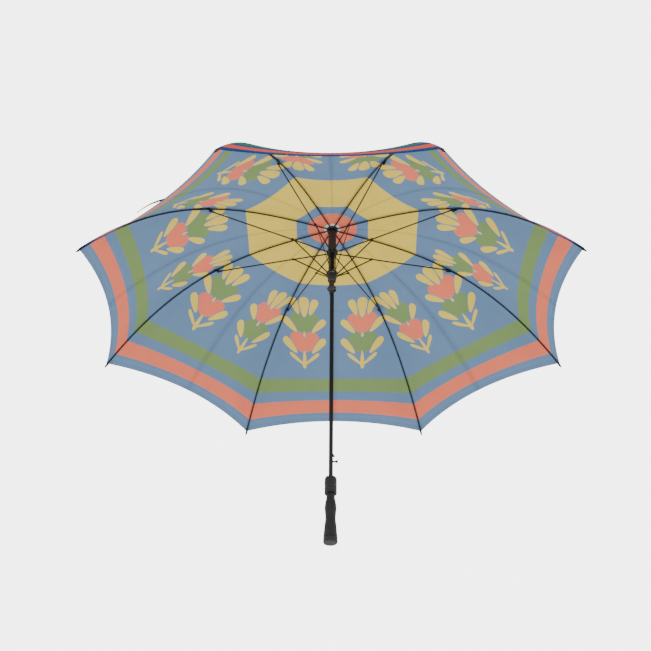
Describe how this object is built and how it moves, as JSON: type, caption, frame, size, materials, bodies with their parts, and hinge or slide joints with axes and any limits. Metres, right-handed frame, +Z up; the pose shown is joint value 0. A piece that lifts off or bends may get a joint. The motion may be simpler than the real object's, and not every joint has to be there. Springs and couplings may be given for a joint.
{
  "type": "stick umbrella",
  "caption": "Open stick umbrella with a domed cloth canopy on curved ribs, sprung stretchers, a sliding double runner, a push-button shaft and a short flared handle",
  "frame": {"origin": "centre of the flat face under the handle", "axes": "+Z up the shaft to the crown, +X toward the push button, the ribs at half a sector from +X and then every eighth of a turn"},
  "size_m": [0.9628, 0.9628, 0.7857],
  "materials": {
    "coated_steel": "satin black",
    "moulded_plastic": "satin black",
    "soft_grip": "matte black",
    "wire": "bright",
    "canopy_cloth": "woven",
    "rosette_cloth": "woven",
    "strap_cloth": "woven"
  },
  "bodies": {
    "shaft": {"shaft_tube": "coated_steel", "crown_notch": "moulded_plastic", "crown_wire": "wire", "crown_cap": "moulded_plastic", "top_ferrule": "moulded_plastic", "crown_rosette": "rosette_cloth", "handle_collar": "moulded_plastic", "handle_grip": "soft_grip", "handle_end_cap": "moulded_plastic"},
    "upper_runner": {"upper_runner": "moulded_plastic", "opening_spring": "coated_steel"},
    "lower_runner": {"lower_runner": "moulded_plastic", "lower_runner_wire": "wire"},
    "release_button": {"release_button": "moulded_plastic"},
    "runner_catch": {"runner_catch": "coated_steel"},
    "inner_rib_1": {"inner_rib_1": "coated_steel"},
    "outer_rib_1": {"outer_rib_1": "coated_steel", "canopy_gore_1": "canopy_cloth"},
    "stretcher_1": {"stretcher_1": "coated_steel"},
    "strut_1": {"strut_1": "coated_steel"},
    "inner_rib_2": {"inner_rib_2": "coated_steel"},
    "outer_rib_2": {"outer_rib_2": "coated_steel", "canopy_gore_2": "canopy_cloth"},
    "stretcher_2": {"stretcher_2": "coated_steel"},
    "strut_2": {"strut_2": "coated_steel"},
    "inner_rib_3": {"inner_rib_3": "coated_steel"},
    "outer_rib_3": {"outer_rib_3": "coated_steel", "canopy_gore_3": "canopy_cloth"},
    "stretcher_3": {"stretcher_3": "coated_steel"},
    "strut_3": {"strut_3": "coated_steel"},
    "inner_rib_4": {"inner_rib_4": "coated_steel"},
    "outer_rib_4": {"outer_rib_4": "coated_steel", "canopy_gore_4": "canopy_cloth"},
    "stretcher_4": {"stretcher_4": "coated_steel"},
    "strut_4": {"strut_4": "coated_steel"},
    "inner_rib_5": {"inner_rib_5": "coated_steel"},
    "outer_rib_5": {"outer_rib_5": "coated_steel", "canopy_gore_5": "canopy_cloth", "tie_strap": "strap_cloth"},
    "stretcher_5": {"stretcher_5": "coated_steel"},
    "strut_5": {"strut_5": "coated_steel"},
    "inner_rib_6": {"inner_rib_6": "coated_steel"},
    "outer_rib_6": {"outer_rib_6": "coated_steel", "canopy_gore_6": "canopy_cloth"},
    "stretcher_6": {"stretcher_6": "coated_steel"},
    "strut_6": {"strut_6": "coated_steel"},
    "inner_rib_7": {"inner_rib_7": "coated_steel"},
    "outer_rib_7": {"outer_rib_7": "coated_steel", "canopy_gore_7": "canopy_cloth"},
    "stretcher_7": {"stretcher_7": "coated_steel"},
    "strut_7": {"strut_7": "coated_steel"},
    "inner_rib_8": {"inner_rib_8": "coated_steel"},
    "outer_rib_8": {"outer_rib_8": "coated_steel", "canopy_gore_8": "canopy_cloth"},
    "stretcher_8": {"stretcher_8": "coated_steel"},
    "strut_8": {"strut_8": "coated_steel"}
  },
  "joints": [
    {"name": "rib_1_fold", "type": "hinge", "parent": "shaft", "child": "inner_rib_1", "pos_m": [0.0097, 0.00402, 0.716], "axis": [-0.3827, 0.9239, 0], "range_deg": [0, 81.27], "stiffness_Nm_per_rad": 0.12, "springref_deg": -171.89, "deforming": ["canopy_gore_1"]},
    {"name": "rib_1_flex", "type": "hinge", "parent": "inner_rib_1", "child": "outer_rib_1", "pos_m": [0.24335, 0.1008, 0.68614], "axis": [-0.3827, 0.9239, 0], "range_deg": [-28.61, 0]},
    {"name": "stretcher_1_turn", "type": "hinge", "parent": "inner_rib_1", "child": "stretcher_1", "pos_m": [0.24335, 0.1008, 0.68614], "axis": [-0.3827, 0.9239, 0], "range_deg": [-162.53, 0]},
    {"name": "strut_1_turn", "type": "hinge", "parent": "stretcher_1", "child": "strut_1", "pos_m": [0.08127, 0.03366, 0.66542], "axis": [-0.3827, 0.9239, 0], "range_deg": [0, 32.62]},
    {"name": "rib_2_fold", "type": "hinge", "parent": "shaft", "child": "inner_rib_2", "pos_m": [0.00402, 0.0097, 0.716], "axis": [-0.9239, 0.3827, 0], "range_deg": [0, 81.27], "stiffness_Nm_per_rad": 0.12, "springref_deg": -171.89, "deforming": ["canopy_gore_2"]},
    {"name": "rib_2_flex", "type": "hinge", "parent": "inner_rib_2", "child": "outer_rib_2", "pos_m": [0.1008, 0.24335, 0.68614], "axis": [-0.9239, 0.3827, 0], "range_deg": [-28.61, 0]},
    {"name": "stretcher_2_turn", "type": "hinge", "parent": "inner_rib_2", "child": "stretcher_2", "pos_m": [0.1008, 0.24335, 0.68614], "axis": [-0.9239, 0.3827, 0], "range_deg": [-162.53, 0]},
    {"name": "strut_2_turn", "type": "hinge", "parent": "stretcher_2", "child": "strut_2", "pos_m": [0.03366, 0.08127, 0.66542], "axis": [-0.9239, 0.3827, 0], "range_deg": [0, 32.62]},
    {"name": "rib_3_fold", "type": "hinge", "parent": "shaft", "child": "inner_rib_3", "pos_m": [-0.00402, 0.0097, 0.716], "axis": [-0.9239, -0.3827, 0], "range_deg": [0, 81.27], "stiffness_Nm_per_rad": 0.12, "springref_deg": -171.89, "deforming": ["canopy_gore_3"]},
    {"name": "rib_3_flex", "type": "hinge", "parent": "inner_rib_3", "child": "outer_rib_3", "pos_m": [-0.1008, 0.24335, 0.68614], "axis": [-0.9239, -0.3827, 0], "range_deg": [-28.61, 0]},
    {"name": "stretcher_3_turn", "type": "hinge", "parent": "inner_rib_3", "child": "stretcher_3", "pos_m": [-0.1008, 0.24335, 0.68614], "axis": [-0.9239, -0.3827, 0], "range_deg": [-162.53, 0]},
    {"name": "strut_3_turn", "type": "hinge", "parent": "stretcher_3", "child": "strut_3", "pos_m": [-0.03366, 0.08127, 0.66542], "axis": [-0.9239, -0.3827, 0], "range_deg": [0, 32.62]},
    {"name": "rib_4_fold", "type": "hinge", "parent": "shaft", "child": "inner_rib_4", "pos_m": [-0.0097, 0.00402, 0.716], "axis": [-0.3827, -0.9239, 0], "range_deg": [0, 81.27], "stiffness_Nm_per_rad": 0.12, "springref_deg": -171.89, "deforming": ["canopy_gore_4"]},
    {"name": "rib_4_flex", "type": "hinge", "parent": "inner_rib_4", "child": "outer_rib_4", "pos_m": [-0.24335, 0.1008, 0.68614], "axis": [-0.3827, -0.9239, 0], "range_deg": [-28.61, 0]},
    {"name": "stretcher_4_turn", "type": "hinge", "parent": "inner_rib_4", "child": "stretcher_4", "pos_m": [-0.24335, 0.1008, 0.68614], "axis": [-0.3827, -0.9239, 0], "range_deg": [-162.53, 0]},
    {"name": "strut_4_turn", "type": "hinge", "parent": "stretcher_4", "child": "strut_4", "pos_m": [-0.08127, 0.03366, 0.66542], "axis": [-0.3827, -0.9239, 0], "range_deg": [0, 32.62]},
    {"name": "rib_5_fold", "type": "hinge", "parent": "shaft", "child": "inner_rib_5", "pos_m": [-0.0097, -0.00402, 0.716], "axis": [0.3827, -0.9239, 0], "range_deg": [0, 81.27], "stiffness_Nm_per_rad": 0.12, "springref_deg": -171.89, "deforming": ["canopy_gore_5", "tie_strap"]},
    {"name": "rib_5_flex", "type": "hinge", "parent": "inner_rib_5", "child": "outer_rib_5", "pos_m": [-0.24335, -0.1008, 0.68614], "axis": [0.3827, -0.9239, 0], "range_deg": [-28.61, 0]},
    {"name": "stretcher_5_turn", "type": "hinge", "parent": "inner_rib_5", "child": "stretcher_5", "pos_m": [-0.24335, -0.1008, 0.68614], "axis": [0.3827, -0.9239, 0], "range_deg": [-162.53, 0]},
    {"name": "strut_5_turn", "type": "hinge", "parent": "stretcher_5", "child": "strut_5", "pos_m": [-0.08127, -0.03366, 0.66542], "axis": [0.3827, -0.9239, 0], "range_deg": [0, 32.62]},
    {"name": "rib_6_fold", "type": "hinge", "parent": "shaft", "child": "inner_rib_6", "pos_m": [-0.00402, -0.0097, 0.716], "axis": [0.9239, -0.3827, 0], "range_deg": [0, 81.27], "stiffness_Nm_per_rad": 0.12, "springref_deg": -171.89, "deforming": ["canopy_gore_6"]},
    {"name": "rib_6_flex", "type": "hinge", "parent": "inner_rib_6", "child": "outer_rib_6", "pos_m": [-0.1008, -0.24335, 0.68614], "axis": [0.9239, -0.3827, 0], "range_deg": [-28.61, 0]},
    {"name": "stretcher_6_turn", "type": "hinge", "parent": "inner_rib_6", "child": "stretcher_6", "pos_m": [-0.1008, -0.24335, 0.68614], "axis": [0.9239, -0.3827, 0], "range_deg": [-162.53, 0]},
    {"name": "strut_6_turn", "type": "hinge", "parent": "stretcher_6", "child": "strut_6", "pos_m": [-0.03366, -0.08127, 0.66542], "axis": [0.9239, -0.3827, 0], "range_deg": [0, 32.62]},
    {"name": "rib_7_fold", "type": "hinge", "parent": "shaft", "child": "inner_rib_7", "pos_m": [0.00402, -0.0097, 0.716], "axis": [0.9239, 0.3827, 0], "range_deg": [0, 81.27], "stiffness_Nm_per_rad": 0.12, "springref_deg": -171.89, "deforming": ["canopy_gore_7"]},
    {"name": "rib_7_flex", "type": "hinge", "parent": "inner_rib_7", "child": "outer_rib_7", "pos_m": [0.1008, -0.24335, 0.68614], "axis": [0.9239, 0.3827, 0], "range_deg": [-28.61, 0]},
    {"name": "stretcher_7_turn", "type": "hinge", "parent": "inner_rib_7", "child": "stretcher_7", "pos_m": [0.1008, -0.24335, 0.68614], "axis": [0.9239, 0.3827, 0], "range_deg": [-162.53, 0]},
    {"name": "strut_7_turn", "type": "hinge", "parent": "stretcher_7", "child": "strut_7", "pos_m": [0.03366, -0.08127, 0.66542], "axis": [0.9239, 0.3827, 0], "range_deg": [0, 32.62]},
    {"name": "rib_8_fold", "type": "hinge", "parent": "shaft", "child": "inner_rib_8", "pos_m": [0.0097, -0.00402, 0.716], "axis": [0.3827, 0.9239, 0], "range_deg": [0, 81.27], "stiffness_Nm_per_rad": 0.12, "springref_deg": -171.89, "deforming": ["canopy_gore_8"]},
    {"name": "rib_8_flex", "type": "hinge", "parent": "inner_rib_8", "child": "outer_rib_8", "pos_m": [0.24335, -0.1008, 0.68614], "axis": [0.3827, 0.9239, 0], "range_deg": [-28.61, 0]},
    {"name": "stretcher_8_turn", "type": "hinge", "parent": "inner_rib_8", "child": "stretcher_8", "pos_m": [0.24335, -0.1008, 0.68614], "axis": [0.3827, 0.9239, 0], "range_deg": [-162.53, 0]},
    {"name": "strut_8_turn", "type": "hinge", "parent": "stretcher_8", "child": "strut_8", "pos_m": [0.08127, -0.03366, 0.66542], "axis": [0.3827, 0.9239, 0], "range_deg": [0, 32.62]},
    {"name": "upper_runner_turn", "type": "hinge", "parent": "stretcher_1", "child": "upper_runner", "pos_m": [0.0097, 0.00402, 0.65627], "axis": [-0.3827, 0.9239, 0], "range_deg": [0, 81.27]},
    {"name": "lower_runner_slide", "type": "slide", "parent": "upper_runner", "child": "lower_runner", "axis": [0, 0, 1], "range_m": [0, 0.03233], "deforming": ["opening_spring"]},
    {"name": "button_press", "type": "slide", "parent": "shaft", "child": "release_button", "axis": [-1, 0, 0], "range_m": [0, 0.003], "stiffness_N_per_m": 300, "springref_m": -0.001},
    {"name": "catch_retract", "type": "slide", "parent": "shaft", "child": "runner_catch", "axis": [-1, 0, 0], "range_m": [0, 0.003]}
  ],
  "couplings": [
    {"joint": "rib_1_flex", "follows": "rib_1_fold", "ratio": -0.352},
    {"joint": "stretcher_1_turn", "follows": "rib_1_fold", "ratio": -2},
    {"joint": "strut_1_turn", "follows": "rib_1_fold", "ratio": 0.40146},
    {"joint": "rib_2_fold", "follows": "rib_1_fold", "ratio": 1},
    {"joint": "rib_2_flex", "follows": "rib_1_fold", "ratio": -0.352},
    {"joint": "stretcher_2_turn", "follows": "rib_1_fold", "ratio": -2},
    {"joint": "strut_2_turn", "follows": "rib_1_fold", "ratio": 0.40146},
    {"joint": "rib_3_fold", "follows": "rib_1_fold", "ratio": 1},
    {"joint": "rib_3_flex", "follows": "rib_1_fold", "ratio": -0.352},
    {"joint": "stretcher_3_turn", "follows": "rib_1_fold", "ratio": -2},
    {"joint": "strut_3_turn", "follows": "rib_1_fold", "ratio": 0.40146},
    {"joint": "rib_4_fold", "follows": "rib_1_fold", "ratio": 1},
    {"joint": "rib_4_flex", "follows": "rib_1_fold", "ratio": -0.352},
    {"joint": "stretcher_4_turn", "follows": "rib_1_fold", "ratio": -2},
    {"joint": "strut_4_turn", "follows": "rib_1_fold", "ratio": 0.40146},
    {"joint": "rib_5_fold", "follows": "rib_1_fold", "ratio": 1},
    {"joint": "rib_5_flex", "follows": "rib_1_fold", "ratio": -0.352},
    {"joint": "stretcher_5_turn", "follows": "rib_1_fold", "ratio": -2},
    {"joint": "strut_5_turn", "follows": "rib_1_fold", "ratio": 0.40146},
    {"joint": "rib_6_fold", "follows": "rib_1_fold", "ratio": 1},
    {"joint": "rib_6_flex", "follows": "rib_1_fold", "ratio": -0.352},
    {"joint": "stretcher_6_turn", "follows": "rib_1_fold", "ratio": -2},
    {"joint": "strut_6_turn", "follows": "rib_1_fold", "ratio": 0.40146},
    {"joint": "rib_7_fold", "follows": "rib_1_fold", "ratio": 1},
    {"joint": "rib_7_flex", "follows": "rib_1_fold", "ratio": -0.352},
    {"joint": "stretcher_7_turn", "follows": "rib_1_fold", "ratio": -2},
    {"joint": "strut_7_turn", "follows": "rib_1_fold", "ratio": 0.40146},
    {"joint": "rib_8_fold", "follows": "rib_1_fold", "ratio": 1},
    {"joint": "rib_8_flex", "follows": "rib_1_fold", "ratio": -0.352},
    {"joint": "stretcher_8_turn", "follows": "rib_1_fold", "ratio": -2},
    {"joint": "strut_8_turn", "follows": "rib_1_fold", "ratio": 0.40146},
    {"joint": "upper_runner_turn", "follows": "rib_1_fold", "ratio": 1},
    {"joint": "lower_runner_slide", "follows": "rib_1_fold", "m_per_rad": 0.022791},
    {"joint": "catch_retract", "follows": "button_press", "ratio": 1}
  ]
}
